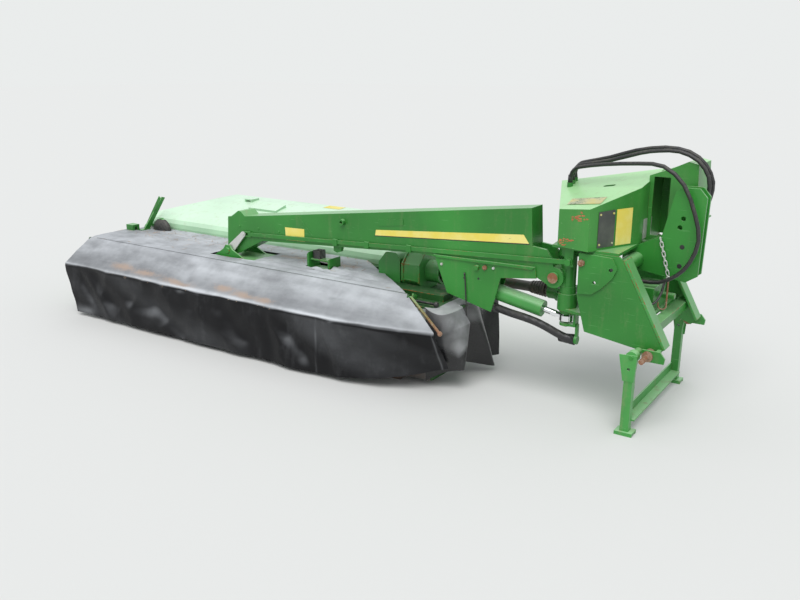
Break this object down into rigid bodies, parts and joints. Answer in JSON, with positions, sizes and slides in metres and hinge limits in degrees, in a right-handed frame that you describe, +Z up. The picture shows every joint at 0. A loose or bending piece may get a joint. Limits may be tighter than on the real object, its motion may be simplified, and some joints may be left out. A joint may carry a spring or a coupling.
{
  "type": "mounted disc mower-conditioner, folded back",
  "caption": "Tractor-mounted disc mower with a tine conditioner, folded back on its centre arm and parked on its stand.",
  "frame": {"origin": "the centre of the footprint's bounding box, at ground level", "axes": "+X to the tractor, +Z up; the cutting side faces -Y"},
  "size_m": [4.5548, 1.72, 1.453],
  "materials": {
    "green_paint": "satin",
    "green_plastic": "satin",
    "pale_green": "satin",
    "rusty_steel": "matte",
    "pale_steel": "satin",
    "chrome": "polished",
    "grey_steel": "matte",
    "tarp": "matte",
    "black_rubber": "gloss"
  },
  "bodies": {
    "headstock": {"near_side_plate": "green_paint", "far_side_plate": "green_paint", "front_flanges": "green_paint", "deck_plate": "green_paint", "kingpin_seat": "green_paint", "cross_tube": "green_paint", "mast_plates": "green_paint", "headstock_cover": "green_plastic", "lower_link_pins": "rusty_steel", "input_gearbox": "green_paint", "hose_mounts": "green_paint", "check_chain": "pale_steel", "hose_a": "black_rubber", "hose_b": "black_rubber", "hose_c": "black_rubber", "hose_loop": "black_rubber"},
    "stand": {"parking_stand": "green_paint"},
    "swivel": {"swivel": "green_paint", "hose_bundle": "black_rubber"},
    "rod": {"levelling_rod": "green_paint"},
    "arm": {"arm_beam": "green_paint", "arm_pod": "green_paint", "pull_cord": "black_rubber"},
    "barrel": {"cylinder_barrel": "green_paint"},
    "piston": {"cylinder_rod": "chrome"},
    "mower": {"arm_lever": "pale_steel", "pivot_bracket": "green_paint", "main_beam": "green_paint", "deck": "green_paint", "inner_deck": "green_paint", "cutterbar": "grey_steel", "outer_end_plate": "green_paint", "inner_end_plate": "green_paint", "bevel_case": "green_paint", "side_case": "green_paint", "drive_mouth": "green_paint", "corner_stay": "rusty_steel", "arm_buffer": "green_paint", "conditioner_hood": "pale_green", "deck_tarp": "tarp", "end_curtain": "black_rubber", "outer_rail": "green_paint", "outer_dome": "black_rubber"},
    "shaft": {"drive_shaft": "grey_steel"},
    "conditioner": {"conditioner_rotor": "grey_steel"},
    "front_cover": {"front_frame": "green_paint", "front_tarp": "tarp"},
    "disc_1": {"disc_1": "grey_steel"},
    "disc_2": {"disc_2": "grey_steel"},
    "disc_3": {"disc_3": "grey_steel"},
    "disc_4": {"disc_4": "grey_steel"},
    "disc_5": {"disc_5": "grey_steel"},
    "disc_6": {"disc_6": "grey_steel"},
    "disc_7": {"disc_7": "grey_steel"}
  },
  "joints": [
    {"name": "stand_fold", "type": "hinge", "parent": "headstock", "child": "stand", "pos_m": [2.083, -0.13, 0.43], "axis": [0, 1, 0], "range_deg": [0, 85]},
    {"name": "arm_swing", "type": "hinge", "parent": "headstock", "child": "swivel", "pos_m": [1.635, -0.38, 0.6], "axis": [0, 0, 1], "range_deg": [0, 90]},
    {"name": "arm_lift", "type": "hinge", "parent": "swivel", "child": "arm", "pos_m": [1.575, -0.38, 0.745], "axis": [0, 1, 0], "range_deg": [0, 10]},
    {"name": "rod_guide", "type": "hinge", "parent": "swivel", "child": "rod", "pos_m": [1.66, -0.46, 0.845], "axis": [0, 1, 0], "range_deg": [0, 9.6]},
    {"name": "barrel_tilt", "type": "hinge", "parent": "arm", "child": "barrel", "pos_m": [1.06, -0.38, 0.622], "axis": [0, 1, 0], "range_deg": [-2.1, 0]},
    {"name": "piston_slide", "type": "slide", "parent": "barrel", "child": "piston", "axis": [0.9822, 0, -0.1879], "range_m": [0, 0.038]},
    {"name": "mower_tilt", "type": "hinge", "parent": "arm", "child": "mower", "pos_m": [-0.865, -0.38, 0.6], "axis": [0, 1, 0], "range_deg": [0, 2.6]},
    {"name": "shaft_tilt", "type": "hinge", "parent": "mower", "child": "shaft", "pos_m": [0.7, -0.205, 0.605], "axis": [0, 1, 0], "range_deg": [-6.7, 0]},
    {"name": "rotor_spin", "type": "hinge", "parent": "mower", "child": "conditioner", "pos_m": [-0.92, 0.2, 0.35], "axis": [1, 0, 0], "continuous": true},
    {"name": "front_cover_lift", "type": "hinge", "parent": "mower", "child": "front_cover", "pos_m": [-0.755, -0.61, 0.54], "axis": [-1, 0, 0], "range_deg": [0, 70]},
    {"name": "disc_spin_1", "type": "hinge", "parent": "mower", "child": "disc_1", "pos_m": [0.595, -0.49, 0.1], "axis": [0, 0, 1], "continuous": true},
    {"name": "disc_spin_2", "type": "hinge", "parent": "mower", "child": "disc_2", "pos_m": [0.175, -0.49, 0.1], "axis": [0, 0, 1], "continuous": true},
    {"name": "disc_spin_3", "type": "hinge", "parent": "mower", "child": "disc_3", "pos_m": [-0.245, -0.49, 0.1], "axis": [0, 0, 1], "continuous": true},
    {"name": "disc_spin_4", "type": "hinge", "parent": "mower", "child": "disc_4", "pos_m": [-0.665, -0.49, 0.1], "axis": [0, 0, 1], "continuous": true},
    {"name": "disc_spin_5", "type": "hinge", "parent": "mower", "child": "disc_5", "pos_m": [-1.085, -0.49, 0.1], "axis": [0, 0, 1], "continuous": true},
    {"name": "disc_spin_6", "type": "hinge", "parent": "mower", "child": "disc_6", "pos_m": [-1.505, -0.49, 0.1], "axis": [0, 0, 1], "continuous": true},
    {"name": "disc_spin_7", "type": "hinge", "parent": "mower", "child": "disc_7", "pos_m": [-1.925, -0.49, 0.1], "axis": [0, 0, 1], "continuous": true}
  ],
  "couplings": [
    {"joint": "rod_guide", "follows": "arm_lift", "ratio": 0.95},
    {"joint": "barrel_tilt", "follows": "arm_lift", "ratio": -0.195},
    {"joint": "piston_slide", "follows": "arm_lift", "m_per_rad": 0.2096},
    {"joint": "mower_tilt", "follows": "arm_lift", "ratio": 0.25},
    {"joint": "shaft_tilt", "follows": "arm_lift", "ratio": -0.612},
    {"joint": "disc_spin_2", "follows": "disc_spin_1", "ratio": -1},
    {"joint": "disc_spin_3", "follows": "disc_spin_1", "ratio": 1},
    {"joint": "disc_spin_4", "follows": "disc_spin_1", "ratio": -1},
    {"joint": "disc_spin_5", "follows": "disc_spin_1", "ratio": 1},
    {"joint": "disc_spin_6", "follows": "disc_spin_1", "ratio": -1},
    {"joint": "disc_spin_7", "follows": "disc_spin_1", "ratio": 1}
  ]
}
